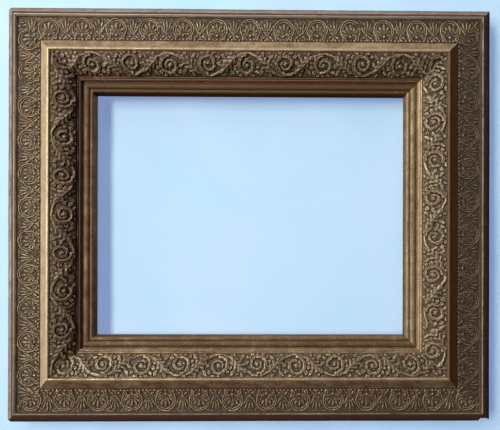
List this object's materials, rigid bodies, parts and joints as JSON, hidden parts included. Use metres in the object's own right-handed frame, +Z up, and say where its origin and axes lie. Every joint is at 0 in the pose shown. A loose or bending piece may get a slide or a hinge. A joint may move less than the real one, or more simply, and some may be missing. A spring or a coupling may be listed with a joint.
{
  "type": "ornate gilded picture frame",
  "caption": "Wide rectangular gilded picture frame with a stepped moulding, a flat palmette frieze, a raised scrolling leaf frieze, back rebate, turn buttons and hanging rings.",
  "frame": {"origin": "middle of the opening, on the wall plane that the outer rails' backs lie on", "axes": "+X to the right seen from the front, +Y into the wall, +Z up; the front faces -Y"},
  "size_m": [0.5314, 0.043, 0.455],
  "materials": {
    "gilded_wood": "aged gilding, satin, rubbed",
    "gilded_compo": "aged gilding on cast ornament, dark in the hollows",
    "bare_pine": "bare, darkened with age",
    "hardwood": "oiled",
    "brass": "dulled",
    "steel": "dulled"
  },
  "bodies": {
    "frame": {"outer_rail_top": "gilded_wood", "middle_rail_top": "gilded_wood", "sight_rail_top": "gilded_wood", "back_rail_top": "bare_pine", "outer_frieze_top": "gilded_compo", "inner_frieze_top": "gilded_compo", "outer_rail_bottom": "gilded_wood", "middle_rail_bottom": "gilded_wood", "sight_rail_bottom": "gilded_wood", "back_rail_bottom": "bare_pine", "outer_frieze_bottom": "gilded_compo", "inner_frieze_bottom": "gilded_compo", "outer_rail_left": "gilded_wood", "middle_rail_left": "gilded_wood", "sight_rail_left": "gilded_wood", "back_rail_left": "bare_pine", "outer_frieze_left": "gilded_compo", "inner_frieze_left": "gilded_compo", "outer_rail_right": "gilded_wood", "middle_rail_right": "gilded_wood", "sight_rail_right": "gilded_wood", "back_rail_right": "bare_pine", "outer_frieze_right": "gilded_compo", "inner_frieze_right": "gilded_compo", "corner_gusset_top_left": "bare_pine", "corner_gusset_top_right": "bare_pine", "corner_gusset_bottom_left": "bare_pine", "corner_gusset_bottom_right": "bare_pine", "hanger_strap_left": "brass", "hanger_strap_right": "brass", "outer_rail_nails": "steel", "middle_rail_nails": "steel", "sight_rail_nails": "steel", "gusset_nails": "steel", "mitre_keys": "hardwood", "turn_button_screws": "steel", "hanger_screws": "steel"},
    "turn_button_top": {"turn_button_top": "brass"},
    "turn_button_bottom": {"turn_button_bottom": "brass"},
    "turn_button_left": {"turn_button_left": "brass"},
    "turn_button_right": {"turn_button_right": "brass"},
    "hanger_ring_left": {"hanger_ring_left": "steel"},
    "hanger_ring_right": {"hanger_ring_right": "steel"}
  },
  "joints": [
    {"name": "turn_button_top_swivel", "type": "hinge", "parent": "frame", "child": "turn_button_top", "pos_m": [0, -0.005, 0.1482], "axis": [0, 1, 0], "continuous": true},
    {"name": "turn_button_bottom_swivel", "type": "hinge", "parent": "frame", "child": "turn_button_bottom", "pos_m": [0, -0.005, -0.1482], "axis": [0, 1, 0], "continuous": true},
    {"name": "turn_button_left_swivel", "type": "hinge", "parent": "frame", "child": "turn_button_left", "pos_m": [-0.1863, -0.005, 0], "axis": [0, 1, 0], "continuous": true},
    {"name": "turn_button_right_swivel", "type": "hinge", "parent": "frame", "child": "turn_button_right", "pos_m": [0.1863, -0.005, 0], "axis": [0, 1, 0], "continuous": true},
    {"name": "hanger_ring_left_swing", "type": "hinge", "parent": "frame", "child": "hanger_ring_left", "pos_m": [-0.20638, -0.00284, 0.075], "axis": [1, 0, 0], "range_deg": [-2, 168]},
    {"name": "hanger_ring_right_swing", "type": "hinge", "parent": "frame", "child": "hanger_ring_right", "pos_m": [0.20638, -0.00284, 0.075], "axis": [1, 0, 0], "range_deg": [-2, 168]}
  ]
}
